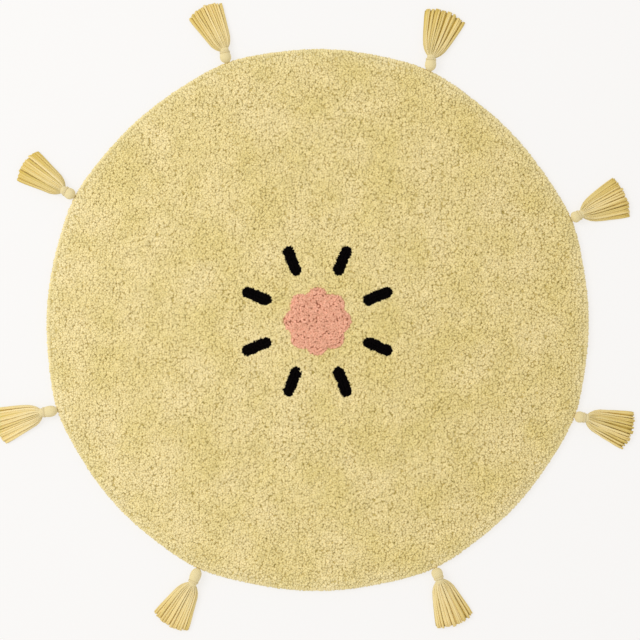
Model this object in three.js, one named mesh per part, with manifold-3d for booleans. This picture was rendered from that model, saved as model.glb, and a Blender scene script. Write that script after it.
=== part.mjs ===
// A round tufted rug for a child's room, with eight yarn tassels for the rays of a sun.
// Millimetres, +Z up. The origin is at the centre of the disc, on its underside.
import * as THREE from "three";
import { mergeVertices } from "three/addons/utils/BufferGeometryUtils.js";
import Module from "manifold-3d";

const wasm = await Module();
wasm.setup();

// Driving dimensions

const rug = {
  radius: 547, // to the rim, halfway between two tassels
  thickness: 15, // woven backing and pile together
  facets: 84, // sides of the outline
  cornerRise: 6, // how far the rim is drawn out at each tassel
  cornerWidth: 8, // degrees each side over which that pull dies away
};

// The outline is a circle with slow waves: how high each wave is, and where its crest lies.
const rimWaves = [
  { turns: 2, height: 1.2, crest: 40 },
  { turns: 3, height: 2, crest: 213 },
  { turns: 5, height: 0.7, crest: 12 },
];

// The rolled rim from the top face out and under: how far in from the outline, and how high.
const rimSection = [
  { inset: 34, height: 15 },
  { inset: 20, height: 14.5 },
  { inset: 10, height: 13.2 },
  { inset: 4, height: 11 },
  { inset: 0.8, height: 8 },
  { inset: 0, height: 5 },
  { inset: 1.5, height: 1.8 },
  { inset: 4, height: 0 },
];

const clearance = 0.3; // between one piece and the next

const pocketDepth = 5; // how deep the coloured pile is let into the yellow pile

// The rounded edge of an island of pile, as shares of its shoulder: how far in, and how far down.
const shoulderSection = [
  { inset: 0, drop: 0.7 },
  { inset: 0.3, drop: 0.2 },
  { inset: 1, drop: 0 },
];

const rosette = {
  radius: 62, // to the middle of its scallops
  petals: 8,
  scallop: 6, // how far each scallop swings out and in
  proud: 4, // above the yellow pile
  shoulder: 6, // width of its rounded edge
  facets: 48,
};

const ray = {
  count: 8,
  width: 24,
  inner: 100, // from the centre to its near end
  outer: 164, // and to its far end
  proud: 0.8, // nearly level with the yellow pile
  shoulder: 2.4,
  endSteps: 6, // round each half-round end
};

const head = {
  radius: 11.6,
  neckRadius: 8.6,
  neckFlare: 0.6, // by which the neck widens into the skirt
  neckLength: 8.2,
  nose: 6.5, // how far the neck's rounded end runs into the skirt
  facets: 12,
};

// The bulb of the head, as shares of its length from the rim and of its radius.
const bulbSection = [
  { along: 0, reach: 0.38 },
  { along: 0.07, reach: 0.7 },
  { along: 0.26, reach: 0.95 },
  { along: 0.5, reach: 1 },
  { along: 0.78, reach: 0.94 },
];

const stem = {
  radius: 4,
  height: 6, // of its axis above the floor
  letIn: 9, // how far it runs into the rim
  embedded: 6, // and into the head
  facets: 8,
};

const tie = {
  thickness: 1.7,
  edge: 0.6, // by which its outer corners are cut
  start: 3, // behind the skirt's roots
  width: 4.6,
  facets: 12,
};

// The skirt lies along the floor. At each section: its distance from the neck, half its width, its
// lowest and highest points in the middle, how much it thins towards its sides, the share of its
// height that it thins towards, and how far its locks are parted.
const skirtSections = [
  { along: -1.5, half: 6.2, low: 6.2, high: 17, rounding: 0, centre: 0.5, parting: -0.02 },
  { along: 6, half: 15.2, low: 1.8, high: 20, rounding: 0.5, centre: 0.5, parting: 0.1 },
  { along: 22, half: 24.2, low: 0, high: 16.4, rounding: 0.5, centre: 0, parting: 0.12 },
  { along: 97, half: 41.5, low: 0, high: 9.6, rounding: 0.4, centre: 0, parting: 0.16 },
];

// The locks' layers from the floor up: the share of the skirt's width and height that each takes,
// and how long its locks are.
const lockLayers = [
  { count: 8, span: 1, low: 0, high: 0.34, reach: 0.985 },
  { count: 8, span: 0.94, low: 0.4, high: 0.68, reach: 1 },
  { count: 6, span: 0.78, low: 0.74, high: 1, reach: 0.965 },
];

const lock = {
  ridge: 0.6, // width of its top face against its foot
  cornerDrop: 0.11, // share by which the outermost end short of the middle
  uneven: 0.02, // share by which lengths differ
  wander: 0.2, // share of a lock's width by which the parting between two moves
};

// Each tassel: where it is sewn to the rim, and which way its head and then its skirt point, in
// degrees anticlockwise, the length of its head, and how wide each side of its skirt fans.
const tassels = [
  { at: 21.9, head: 26.6, skirt: 22.7, headLength: 22.5, left: 1.11, right: 1.09 },
  { at: 65.8, head: 84, skirt: 70.7, headLength: 28, left: 1.12, right: 1.09 },
  { at: 109.4, head: 98, skirt: 116.1, headLength: 26, left: 0.97, right: 0.94 },
  { at: 152.8, head: 149.6, skirt: 146.9, headLength: 26, left: 0.92, right: 0.97 },
  { at: 198.9, head: 188.6, skirt: 199.4, headLength: 32, left: 0.92, right: 1.02 },
  { at: 244.3, head: 248.9, skirt: 241.2, headLength: 33, left: 0.97, right: 1.06 },
  { at: 295.5, head: 290.7, skirt: 291.1, headLength: 26, left: 0.99, right: 1.05 },
  { at: 339.7, head: 352.7, skirt: 342, headLength: 24, left: 1.06, right: 0.99 },
];

const yarns = {
  yellow: new THREE.MeshStandardMaterial({ color: 0xddc989, roughness: 0.95, metalness: 0 }),
  pink: new THREE.MeshStandardMaterial({ color: 0xe2a384, roughness: 0.95, metalness: 0 }),
  black: new THREE.MeshStandardMaterial({ color: 0x141214, roughness: 0.95, metalness: 0 }),
  cream: new THREE.MeshStandardMaterial({ color: 0xdcc48c, roughness: 0.85, metalness: 0 }),
};

const { degToRad, radToDeg, euclideanModulo, lerp } = THREE.MathUtils;

// Between three.js geometry and solids

function solidFrom(geometry) {
  const bare = geometry.clone();
  bare.deleteAttribute("normal");
  bare.deleteAttribute("uv");
  const merged = mergeVertices(bare);
  return new wasm.Manifold(
    new wasm.Mesh({
      numProp: 3,
      vertProperties: merged.attributes.position.array,
      triVerts: new Uint32Array(merged.index.array),
    }),
  );
}

function geometryFrom(solid) {
  const mesh = solid.getMesh();
  const geometry = new THREE.BufferGeometry();
  geometry.setAttribute("position", new THREE.BufferAttribute(mesh.vertProperties, 3));
  geometry.setIndex(new THREE.BufferAttribute(mesh.triVerts, 1));
  geometry.computeVertexNormals();
  return geometry;
}

function named(name, solid, material) {
  const mesh = new THREE.Mesh(geometryFrom(solid), material);
  mesh.name = name;
  return mesh;
}

// Moves every vertex of a geometry by a function of its place.
function bend(geometry, move) {
  const places = geometry.attributes.position;
  const point = new THREE.Vector3();
  for (let i = 0; i < places.count; i += 1) {
    point.fromBufferAttribute(places, i);
    move(point);
    places.setXYZ(i, point.x, point.y, point.z);
  }
  return geometry;
}

// A section of [radius, height] pairs turned round +Z.
function turned(section, facets) {
  const points = section.map(([radius, height]) => new THREE.Vector2(radius, height));
  return new THREE.LatheGeometry(points, facets).rotateX(Math.PI / 2);
}

// Closed loops of like corner counts, each with a height, stacked into one solid with flat ends.
// Each loop runs anticlockwise and is seen whole from its middle.
function stacked(rings) {
  const count = rings[0].loop.length;
  const geometry = new THREE.CylinderGeometry(1, 1, 1, count, rings.length - 1);
  geometry.rotateX(Math.PI / 2);
  return bend(geometry, (point) => {
    const ring = rings[Math.round((point.z + 0.5) * (rings.length - 1))];
    const isMiddle = Math.hypot(point.x, point.y) < 0.5;
    const turn = Math.atan2(point.y, point.x) + Math.PI / 2;
    const corner = ring.loop[euclideanModulo(Math.round((turn / (2 * Math.PI)) * count), count)];
    const middle = new THREE.Vector2();
    ring.loop.forEach((each) => middle.addScaledVector(each, 1 / count));
    const place = isMiddle ? middle : corner;
    point.set(place.x, place.y, ring.height);
  });
}

// The disc

// Distance from the centre to the rim in the direction of an angle in degrees.
function rimRadius(angle) {
  let radius = rug.radius;
  for (const wave of rimWaves) {
    radius += wave.height * Math.cos(wave.turns * degToRad(angle - wave.crest));
  }
  for (const row of tassels) {
    const away = euclideanModulo(angle - row.at + 180, 360) - 180;
    radius += rug.cornerRise * Math.exp(-((away / rug.cornerWidth) ** 2));
  }
  return radius;
}

function discSolid() {
  const section = rimSection.map(({ inset, height }) => [rug.radius - inset, height]);
  const profile = [[0, 0], ...section.reverse(), [0, rug.thickness]];
  const disc = turned(profile, rug.facets);
  bend(disc, (point) => {
    const reach = Math.hypot(point.x, point.y);
    if (reach < rug.radius / 2) return;
    const angle = radToDeg(Math.atan2(point.y, point.x));
    const stretch = 1 + (rimRadius(angle) - rug.radius) / reach;
    point.x *= stretch;
    point.y *= stretch;
  });
  return solidFrom(disc);
}

// The motif: islands of coloured pile, each with a rounded edge, seated in pockets in the yellow

function rosetteOutline(inset) {
  const loop = [];
  for (let i = 0; i < rosette.facets; i += 1) {
    const angle = (i / rosette.facets) * 2 * Math.PI;
    const lobe = Math.abs(Math.cos((rosette.petals * angle) / 2));
    const radius = rosette.radius - inset + rosette.scallop * (2 * lobe - 1);
    loop.push(new THREE.Vector2(radius * Math.cos(angle), radius * Math.sin(angle)));
  }
  return loop;
}

// A stroke with half-round ends, along a line from the centre at an angle in degrees.
function rayOutline(angle, inset) {
  const half = ray.width / 2 - inset;
  const ends = [
    { middle: ray.outer - ray.width / 2, from: -90 },
    { middle: ray.inner + ray.width / 2, from: 90 },
  ];
  const loop = [];
  for (const end of ends) {
    for (let i = 0; i <= ray.endSteps; i += 1) {
      const turn = degToRad(end.from + (180 * i) / ray.endSteps);
      const corner = new THREE.Vector2(end.middle, 0);
      corner.x += half * Math.cos(turn);
      corner.y += half * Math.sin(turn);
      loop.push(corner.rotateAround(new THREE.Vector2(), degToRad(angle)));
    }
  }
  return loop;
}

function islandSolid(outline, proud, shoulder) {
  const top = rug.thickness + proud;
  const rings = [{ loop: outline(0), height: rug.thickness - pocketDepth + clearance }];
  for (const { inset, drop } of shoulderSection) {
    rings.push({ loop: outline(inset * shoulder), height: top - drop * shoulder });
  }
  return solidFrom(stacked(rings));
}

function pocketSolid(outline) {
  const loop = outline(-clearance);
  const bottom = { loop, height: rug.thickness - pocketDepth };
  const top = { loop, height: rug.thickness + pocketDepth };
  return solidFrom(stacked([bottom, top]));
}

function motifPieces() {
  const { petals, proud, shoulder } = rosette;
  const pieces = [{ name: "rosette", outline: rosetteOutline, proud, shoulder, yarn: yarns.pink }];
  for (let i = 0; i < ray.count; i += 1) {
    const angle = (360 / ray.count) * i;
    pieces.push({
      name: `ray_${i + 1}`,
      outline: (inset) => rayOutline(angle + 180 / petals, inset),
      proud: ray.proud,
      shoulder: ray.shoulder,
      yarn: yarns.black,
    });
  }
  return pieces;
}

// Tassels, made with the neck at the origin, the head behind it along -X and the floor at z = 0

function headGeometry(length) {
  const bulbLength = length - head.neckLength;
  const bulb = bulbSection.map((row) => [row.reach * head.radius, row.along * bulbLength - length]);
  const neck = [
    [head.neckRadius, -head.neckLength],
    [head.neckRadius, 0],
    [head.neckRadius + head.neckFlare, head.nose / 2],
  ];
  const geometry = turned([[0, -length], ...bulb, ...neck, [0, head.nose]], head.facets);
  return geometry.rotateY(Math.PI / 2).translate(0, 0, head.radius);
}

// The stem from inside the head to its blind end in the rim.
function stemGeometry(row, grown) {
  const radius = stem.radius + grown;
  const from = -row.headLength - stem.letIn - grown;
  const to = -row.headLength + stem.embedded;
  const geometry = new THREE.CylinderGeometry(radius, radius, to - from, stem.facets);
  return geometry.rotateZ(Math.PI / 2).translate((from + to) / 2, 0, stem.height);
}

// One lock of the skirt: a four-sided bar, narrower on top, that follows the skirt's sections.
function lockGeometry(row, layer, index) {
  const steps = skirtSections.length - 1;
  const seed = row.at + 40 * layer.low;
  const length = layer.reach + lock.uneven * Math.sin(seed + 7 * index);
  // The parting at one side of the lock, counted in locks across the layer.
  const edge = (i) => (i % layer.count ? i + lock.wander * Math.sin(seed + 2.4 * i) : i);
  const middle = (edge(index) + edge(index + 1)) / 2;
  const width = edge(index + 1) - edge(index);
  return bend(new THREE.BoxGeometry(1, 1, 1, steps, 1, 1), (point) => {
    const step = Math.round((point.x + 0.5) * steps);
    const section = skirtSections[step];
    const along = step === steps ? section.along * length : section.along;
    const taper = point.z > 0 && step > 0 ? lock.ridge : 1;
    const place = middle + point.y * width * taper * (1 - section.parting);
    const across = layer.span * ((2 * place) / layer.count - 1);
    const side = across > 0 ? row.left : row.right;
    const half = step > 0 ? section.half * side : section.half;
    const fullness = 1 - section.rounding * across ** 2;
    const share = lerp(layer.low, layer.high, point.z + 0.5) - section.centre;
    point.x = along * (1 - lock.cornerDrop * across ** 2);
    point.y = across * half;
    point.z = lerp(section.low, section.high, section.centre + share * fullness);
  });
}

function tasselSolid(row) {
  const turn = degToRad(row.skirt - row.head);
  let solid = solidFrom(headGeometry(row.headLength)).add(solidFrom(stemGeometry(row, 0)));
  for (const layer of lockLayers) {
    for (let index = 0; index < layer.count; index += 1) {
      solid = solid.add(solidFrom(lockGeometry(row, layer, index).rotateZ(turn)));
    }
  }
  return solid;
}

// The binding is a ring round the neck, with rounded outer edges.
function tieSolid() {
  const inner = (head.neckRadius + clearance) / Math.cos(Math.PI / tie.facets);
  const outer = inner + tie.thickness;
  const front = -tie.start;
  const back = front - tie.width;
  const ring = [
    [inner, back],
    [outer - tie.edge, back],
    [outer, back + tie.edge],
    [outer, front - tie.edge],
    [outer - tie.edge, front],
    [inner, front],
    [inner, back],
  ];
  const geometry = turned(ring, tie.facets);
  return solidFrom(geometry.rotateY(Math.PI / 2).translate(0, 0, head.radius));
}

// A group whose origin is the neck of a tassel, turned the way its head points.
function tasselGroup(row) {
  const group = new THREE.Group();
  const rim = rimRadius(row.at);
  const at = degToRad(row.at);
  const heading = degToRad(row.head);
  group.position.set(
    rim * Math.cos(at) + (row.headLength + clearance) * Math.cos(heading),
    rim * Math.sin(at) + (row.headLength + clearance) * Math.sin(heading),
    0,
  );
  group.rotation.z = heading;
  group.updateMatrix();
  return group;
}

// The whole rug

const whole = new THREE.Group();
let disc = discSolid();

for (const piece of motifPieces()) {
  disc = disc.subtract(pocketSolid(piece.outline));
  const solid = islandSolid(piece.outline, piece.proud, piece.shoulder);
  whole.add(named(piece.name, solid, piece.yarn));
}

tassels.forEach((row, i) => {
  const group = tasselGroup(row);
  const socket = stemGeometry(row, clearance).applyMatrix4(group.matrix);
  disc = disc.subtract(solidFrom(socket));
  group.add(named(`tassel_${i + 1}`, tasselSolid(row), yarns.cream));
  group.add(named(`tassel_tie_${i + 1}`, tieSolid(), yarns.cream));
  whole.add(group);
});

whole.add(named("rug", disc, yarns.yellow));

export default whole;
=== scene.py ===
import math

import bpy
import numpy as np
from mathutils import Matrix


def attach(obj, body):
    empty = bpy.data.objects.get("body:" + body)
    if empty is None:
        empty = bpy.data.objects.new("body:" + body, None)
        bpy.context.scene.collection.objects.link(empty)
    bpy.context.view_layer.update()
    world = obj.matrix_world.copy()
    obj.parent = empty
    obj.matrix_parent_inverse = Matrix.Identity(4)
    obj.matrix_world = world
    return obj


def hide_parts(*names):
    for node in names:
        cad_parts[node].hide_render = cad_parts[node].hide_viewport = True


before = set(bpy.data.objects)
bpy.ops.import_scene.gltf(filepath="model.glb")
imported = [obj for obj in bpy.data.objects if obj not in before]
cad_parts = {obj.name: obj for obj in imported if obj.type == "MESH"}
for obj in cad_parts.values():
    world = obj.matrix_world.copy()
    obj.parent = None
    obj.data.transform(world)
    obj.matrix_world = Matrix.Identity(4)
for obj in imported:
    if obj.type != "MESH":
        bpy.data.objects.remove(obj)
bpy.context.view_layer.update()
print("packed model loaded,", len(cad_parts), "nodes")


# Camera, straight above the rug

view = {
    "centre": (0.0054, 0.0025),  # metres, the middle of the picture on the rug
    "width": 1.2898,  # metres of floor across the picture, at the top of the pile
    "pileTop": 0.015,
    "lens": 85,
    "sensor": 36,
}

cameraData = bpy.data.cameras.new("camera_above")
cameraData.lens = view["lens"]
cameraData.sensor_width = view["sensor"]
camera = bpy.data.objects.new("camera_above", cameraData)
camera.location = (*view["centre"], view["pileTop"] + view["width"] * view["lens"] / view["sensor"])
bpy.context.scene.collection.objects.link(camera)
bpy.context.scene.camera = camera
print("camera placed")


# Small helpers

def smoothStep(t):
    # 3 t^2 - 2 t^3, which eases from 0 to 1
    return t * t * (3 - 2 * t)


def softNoise(x, y, size, seed):
    # Random heights from -1 to 1 on a square lattice of the given size, eased between its corners
    span = 256
    lattice = np.random.default_rng(seed).uniform(-1, 1, (span, span))
    u = x / size + span / 2
    v = y / size + span / 2
    i = np.floor(u).astype(int)
    j = np.floor(v).astype(int)
    s = smoothStep(u - i)
    t = smoothStep(v - j)
    near = lattice[i % span, j % span] * (1 - s) + lattice[(i + 1) % span, j % span] * s
    far = lattice[i % span, (j + 1) % span] * (1 - s) + lattice[(i + 1) % span, (j + 1) % span] * s
    return near * (1 - t) + far * t


def polar(radius, angle):
    # The place (r cos a, r sin a), on the array's last axis
    return np.stack([radius * np.cos(angle), radius * np.sin(angle)], axis=-1)


def turned(x, y, angle):
    return x * np.cos(angle) - y * np.sin(angle), x * np.sin(angle) + y * np.cos(angle)


def evenly(x, y, pitch, count=0):
    # Resamples a closed line at even steps of about the pitch, or into a count of steps
    length = np.concatenate([[0], np.cumsum(np.hypot(np.diff(x), np.diff(y)))])
    count = count or max(1, round(length[-1] / pitch))
    stations = (np.arange(count) + 0.5) / count * length[-1]
    return np.stack([np.interp(stations, length, x), np.interp(stations, length, y)], axis=-1)


def ringedFaces(count, rings, sides):
    # Faces of several closed forms, each with a foot point, some rings of points and a tip point.
    # Each corner is also told its ring (-1 at the foot) and its side, which runs on past the seam.
    i, j = np.mgrid[:rings - 1, :sides].reshape(2, -1)
    quadRing = np.stack([i, i, i + 1, i + 1], axis=-1)
    quadSide = np.stack([j, j + 1, j + 1, j], axis=-1)
    j = np.arange(sides)
    i = 0 * j
    fanRing = [np.stack([i - 1, i, i], axis=-1), np.stack([i, i, i + 1], axis=-1) + rings - 1]
    fanSide = [np.stack([j + 0.5, j + 1, j], axis=-1), np.stack([j, j + 1, j + 0.5], axis=-1)]
    made = {"faces": [], "form": [], "ring": [], "side": []}
    each = 2 + rings * sides
    first = np.arange(count)[:, None, None] * each
    for ring, side in [(quadRing, quadSide), (np.concatenate(fanRing), np.concatenate(fanSide))]:
        corner = np.clip(1 + ring * sides + side % sides, 0, each - 1).astype(int)
        made["faces"].append((first + corner).reshape(-1, ring.shape[1]))
        made["form"].append(np.repeat(np.arange(count), len(ring)))
        made["ring"].append(np.tile(ring, (count, 1)))
        made["side"].append(np.tile(side, (count, 1)))
    return made


def closedForm(foot, rings, tip):
    # One form out of rings of points, a ring to each row, that closes on a point at either end
    made = ringedFaces(1, *np.shape(rings)[:2])
    made["points"] = np.concatenate([[foot], np.reshape(rings, (-1, 3)), [tip]])
    return made


def discLayout(made, sides, reach, centreOf):
    # Each form flattened round a centre on the map, with each ring of points at its own reach
    return [
        centreOf(form, ring) + polar(reach[ring + 1], 2 * np.pi * side / sides)
        for form, ring, side in zip(made["form"], made["ring"], made["side"])
    ]


def joined(forms):
    # One form out of several, with their corner numbers moved up in turn
    offset = 0
    faces = []
    for form in forms:
        faces += [block + offset for block in form["faces"]]
        offset += len(form["points"])
    return {
        "points": np.concatenate([form["points"] for form in forms]),
        "faces": faces,
        "maps": {
            name: [block for form in forms for block in form["maps"][name]]
            for name in forms[0]["maps"]
        },
        "marks": {
            name: np.concatenate([form["marks"][name] for form in forms])
            for name in forms[0]["marks"]
        },
    }


def meshPiece(name, form, material, nodes):
    # Puts a form's arrays into a mesh, which rides on the rug's one body
    mesh = bpy.data.meshes.new(name)
    counts = np.concatenate([np.full(len(block), block.shape[1]) for block in form["faces"]])
    corners = np.concatenate([block.ravel() for block in form["faces"]])
    mesh.vertices.add(len(form["points"]))
    mesh.vertices.foreach_set("co", (form["points"] * 0.001).ravel())
    mesh.loops.add(len(corners))
    mesh.loops.foreach_set("vertex_index", corners.astype(np.int32))
    mesh.polygons.add(len(counts))
    mesh.polygons.foreach_set("loop_start", (np.cumsum(counts) - counts).astype(np.int32))
    mesh.polygons.foreach_set("use_smooth", np.ones(len(counts), dtype=bool))
    for mapName, blocks in form["maps"].items():
        places = np.concatenate([block.reshape(-1, 2) for block in blocks])
        mesh.uv_layers.new(name=mapName).uv.foreach_set("vector", places.ravel())
    for markName, values in form["marks"].items():
        mark = mesh.attributes.new(markName, "FLOAT", "POINT")
        mark.data.foreach_set("value", values.astype(np.float32))
    mesh.update(calc_edges=True)
    mesh.materials.append(material)
    piece = bpy.data.objects.new(name, mesh)
    bpy.context.scene.collection.objects.link(piece)
    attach(piece, "root")
    if nodes:
        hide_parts(*nodes)
    return piece


# Outline of the rug and of its motif

rug = {
    "radius": 547,
    "cornerRise": 6,  # how far the rim is drawn out at each tassel
    "cornerWidth": 8,
    "waves": [(2, 1.2, 40), (3, 2.0, 213), (5, 0.7, 12)],  # turns, height, crest
    "topInset": [0, 0.8, 4, 10, 20, 34],  # the rolled rim: how far in from the outline,
    "topHeight": [5, 8, 11, 13.2, 14.5, 15],  # and the height of the pile there
    "flatSize": (1.1, 1.1),  # metres, the cloth as cut
    "flatArea": 0.945,  # square metres
}

# Where each tassel leaves the rim, the ways its head and skirt point, the length of its head, the
# spread of its skirt to either side, how light its yarn is, partly painted shade that leaves most
# tassels on the right darker, and how far its strands stand apart
tasselNames = ["at", "head", "skirt", "headLength", "left", "right", "tone", "parted"]
tassels = [dict(zip(tasselNames, values)) for values in [
    (21.9, 26.6, 22.7, 22.5, 1.11, 1.09, -0.25, 0.6),
    (65.8, 84.0, 70.7, 28.0, 1.12, 1.09, -0.35, 0.9),
    (109.4, 98.0, 116.1, 26.0, 0.97, 0.94, -0.1, 0.9),
    (152.8, 149.6, 146.9, 26.0, 0.92, 0.97, -0.4, 0.9),
    (198.9, 188.6, 199.4, 32.0, 0.92, 1.02, 0.1, 0.5),
    (244.3, 248.9, 241.2, 33.0, 0.97, 1.06, 0.2, 0.7),
    (295.5, 290.7, 291.1, 26.0, 0.99, 1.05, 0.0, 1.1),
    (339.7, 352.7, 342.0, 24.0, 1.06, 0.99, -0.5, 1.7),
]]

rosette = {
    "radius": 62,
    "petals": 8,
    "scallop": 6,
    "proud": 4,
    "fall": 9.6,  # how far in from its edge the pile is still lower
    "insets": np.arange(3.2, 59, 6),  # of its rings of tufts
    "pitch": 5.8,
    "jitter": 0.8,
    "settle": 6,  # how far in from its edge the tufts stray freely
    "reach": 3.0,
    "openness": 0.9,
    "groundTop": 13.9,
    "groundDrop": 2.1,
}

rays = {
    "count": 8,
    "width": 24,
    "inner": 100,
    "outer": 164,
    "proud": 0.8,
    "fall": 5,
    "insets": [3.1, 8.9],
    "pitch": 5.5,
    "jitter": 0.5,
    "settle": 4,
    "reach": 2.3,
    "openness": 1,
    "groundTop": 13.8,
    "groundDrop": 1.2,
}


def rimRadius(angle):
    # The disc's radius, with slow waves round it and a soft pull at each tassel; angle in radians
    degrees = np.degrees(angle)
    radius = np.full(np.shape(angle), float(rug["radius"]))
    for turns, height, crest in rug["waves"]:
        radius += height * np.cos(turns * np.radians(degrees - crest))
    for row in tassels:
        away = (degrees - row["at"] + 180) % 360 - 180
        radius += rug["cornerRise"] * np.exp(-((away / rug["cornerWidth"]) ** 2))
    return radius


def rimInset(x, y):
    # How far a place is inside the rim
    return rimRadius(np.arctan2(y, x)) - np.hypot(x, y)


def pileTop(inset):
    return np.interp(inset, rug["topInset"], rug["topHeight"])


def rosetteRadius(angle):
    # A circle with one scallop to each petal: the lobes are the crests of |cos|
    lobe = np.abs(np.cos(rosette["petals"] * angle / 2))
    return rosette["radius"] + rosette["scallop"] * (2 * lobe - 1)


def rayAngles():
    return np.radians(180 / rosette["petals"] + 360 / rays["count"] * np.arange(rays["count"]))


def rayDistance(x, y, angle):
    # Distance outside one ray's edge, less than nothing inside: that from a line, less half the width
    along, across = turned(x, y, -angle)
    half = rays["width"] / 2
    beyond = along - np.clip(along, rays["inner"] + half, rays["outer"] - half)
    return np.hypot(beyond, across) - half


def motifDistance(x, y):
    # Distance outside the nearest edge of the motif
    nearest = np.hypot(x, y) - rosetteRadius(np.arctan2(y, x))
    for angle in rayAngles():
        nearest = np.minimum(nearest, rayDistance(x, y, angle))
    return nearest


def rosetteRing(inset, pitch):
    # Places spaced evenly round the rosette's outline, drawn in by an inset and rounder further in
    angle = np.linspace(0, 2 * np.pi, 721)
    share = min(1, 1 - inset / rosette["radius"])
    radius = rosette["radius"] - inset + share * (rosetteRadius(angle) - rosette["radius"])
    return evenly(*polar(radius, angle).T, pitch)


def rayRing(inset, pitch, angle, count=0):
    # Places spaced evenly round one ray's outline, drawn in by an inset
    half = rays["width"] / 2
    turn = np.linspace(-np.pi / 2, np.pi / 2, 40)
    reach = half - inset
    along = np.concatenate([
        rays["outer"] - half + reach * np.cos(turn),
        rays["inner"] + half - reach * np.cos(turn),
        [rays["outer"] - half],
    ])
    across = np.concatenate([reach * np.sin(turn), -reach * np.sin(turn), [-reach]])
    return evenly(*turned(along, across, angle), pitch, count)


# Yarn finishes

def feed(material, node, sockets):
    # Each named input socket gets its constant, or a link from the output given for it
    for name, value in sockets.items():
        if isinstance(value, bpy.types.NodeSocket):
            material.node_tree.links.new(value, node.inputs[name])
        else:
            node.inputs[name].default_value = value


def addNode(material, kind, sockets, **settings):
    node = material.node_tree.nodes.new("ShaderNode" + kind)
    for name, value in settings.items():
        setattr(node, name, value)
    feed(material, node, sockets)
    return node


def newMaterial(name):
    material = bpy.data.materials.new(name)
    material.use_nodes = True
    return material


def finish(material, sockets):
    feed(material, material.node_tree.nodes["Principled BSDF"], sockets)
    return material


def markOn(material, name):
    # The value that a mesh carries under this name
    return addNode(material, "Attribute", {}, attribute_name=name).outputs["Fac"]


def ranged(material, value, source, target):
    # Moves a value from one range to another, in proportion
    sockets = {"Value": value, "From Min": source[0], "From Max": source[1]}
    sockets.update({"To Min": target[0], "To Max": target[1]})
    return addNode(material, "MapRange", sockets).outputs["Result"]


def tinted(material, way, share, colour, tint):
    sockets = {"Factor": share, "A": colour, "B": (*tint, 1)}
    return addNode(material, "Mix", sockets, data_type="RGBA", blend_type=way).outputs["Result"]


def colourRamp(material, stops, value, way="LINEAR"):
    # Colours through a list of (position, colour) stops
    node = addNode(material, "ValToRGB", {"Fac": value})
    ramp = node.color_ramp
    ramp.interpolation = way
    for element, (position, colour) in zip(ramp.elements, (stops[0], stops[-1])):
        element.position = position
        element.color = (*colour, 1)
    for position, colour in stops[1:-1]:
        ramp.elements.new(position).color = (*colour, 1)
    return node.outputs["Color"]


def bumped(material, height, strength, depth):
    sockets = {"Height": height, "Strength": strength, "Distance": depth}
    return addNode(material, "Bump", sockets).outputs["Normal"]


def noiseOf(material, place, size):
    sockets = {"Vector": place, "Scale": 1 / size, "Detail": 2}
    return addNode(material, "TexNoise", sockets).outputs["Fac"]


def yarnMaterial(name, look):
    material = newMaterial(name)
    place = addNode(material, "TexCoord", {}).outputs["Object"]
    tone = markOn(material, "tone")

    # Colour from the foot of a tuft or strand to its tip; in the pile the lower part is darker, painted
    # shade deep among the tufts
    colour = colourRamp(material, look["ramp"], markOn(material, "rise"), "EASE")

    # Wide soft patches, where the dye and the lie of the pile differ
    share = ranged(material, noiseOf(material, place, look["patchSize"]), look["patchRange"], (0, 1))
    colour = tinted(material, "MULTIPLY", share, colour, look["patchTint"])

    # Yarn paler near the rolled rim, where more light comes through, and painted light that pales it
    # towards the left
    colour = tinted(material, "ADD", markOn(material, "pale"), colour, look["paleTint"])

    # Loose fibres, drawn out upwards in standing pile
    stretched = addNode(material, "Mapping", {"Vector": place, "Scale": (1, 1, look["fibreStretch"])})
    fibres = noiseOf(material, stretched.outputs["Vector"], look["fibreSize"])

    # Each tuft or strand a little lighter or darker, by chance and by the painted shade that its tone
    # mark carries, and a dark tuft richer; each fibre lighter or darker as painted light and shade
    swing = look["toneSwing"]
    shade = ranged(material, tone, (-1, 1), (1 - swing, 1 + swing))
    swing = look["fibreShadeSwing"]
    fibreShade = ranged(material, fibres, look["fibreRange"], (1 - swing, 1 + swing))
    value = addNode(material, "Math", {0: shade, 1: fibreShade}, operation="MULTIPLY")
    rich = ranged(material, tone, (-1, 1), (1 + look["richness"], 1 - look["richness"]))
    toned = addNode(material, "HueSaturation", {
        "Saturation": rich,
        "Value": value.outputs["Value"],
        "Color": colour,
    })

    # The twist of the plies, where the piece has a yarn map
    height = fibres
    if look["plies"]:
        yarnMap = addNode(material, "UVMap", {}, uv_map="yarn")
        plies = addNode(material, "TexWave", {
            "Vector": yarnMap.outputs["UV"],
            "Scale": look["plies"],
            "Distortion": 0.6,
        }, bands_direction="DIAGONAL")
        sockets = {0: plies.outputs["Fac"], 1: look["plyShare"], 2: fibres}
        height = addNode(material, "Math", sockets, operation="MULTIPLY_ADD").outputs["Value"]
    return finish(material, {
        "Base Color": toned.outputs["Color"],
        "Normal": bumped(material, height, look["bump"], look["bumpDepth"]),
        "Roughness": 0.92,
        "Specular IOR Level": look["specular"],
        "Sheen Weight": look["sheen"],
        "Sheen Roughness": 0.5,
        "Sheen Tint": (*look["sheenTint"], 1),
    })


# Sizes here are metres, and colours are linear
pileLook = {
    "patchSize": 0.09,
    "patchRange": (0.35, 0.65),
    "patchTint": (0.93, 0.92, 0.77),
    "paleTint": (0.045, 0.062, 0.08),
    "toneSwing": 0.09,
    "richness": 0.03,  # darker tufts are deeper in colour too
    "fibreSize": 0.0007,
    "fibreStretch": 0.3,
    "fibreShadeSwing": 0.12,
    "fibreRange": (0.3, 0.7),
    "plies": 0,  # bands of twist to each 10 mm of yarn; none shows in cut pile
    "bump": 0.7,
    "bumpDepth": 0.0008,
    "specular": 0.15,
    "sheen": 0.12,
    "sheenTint": (1, 0.95, 0.8),
}

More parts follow.
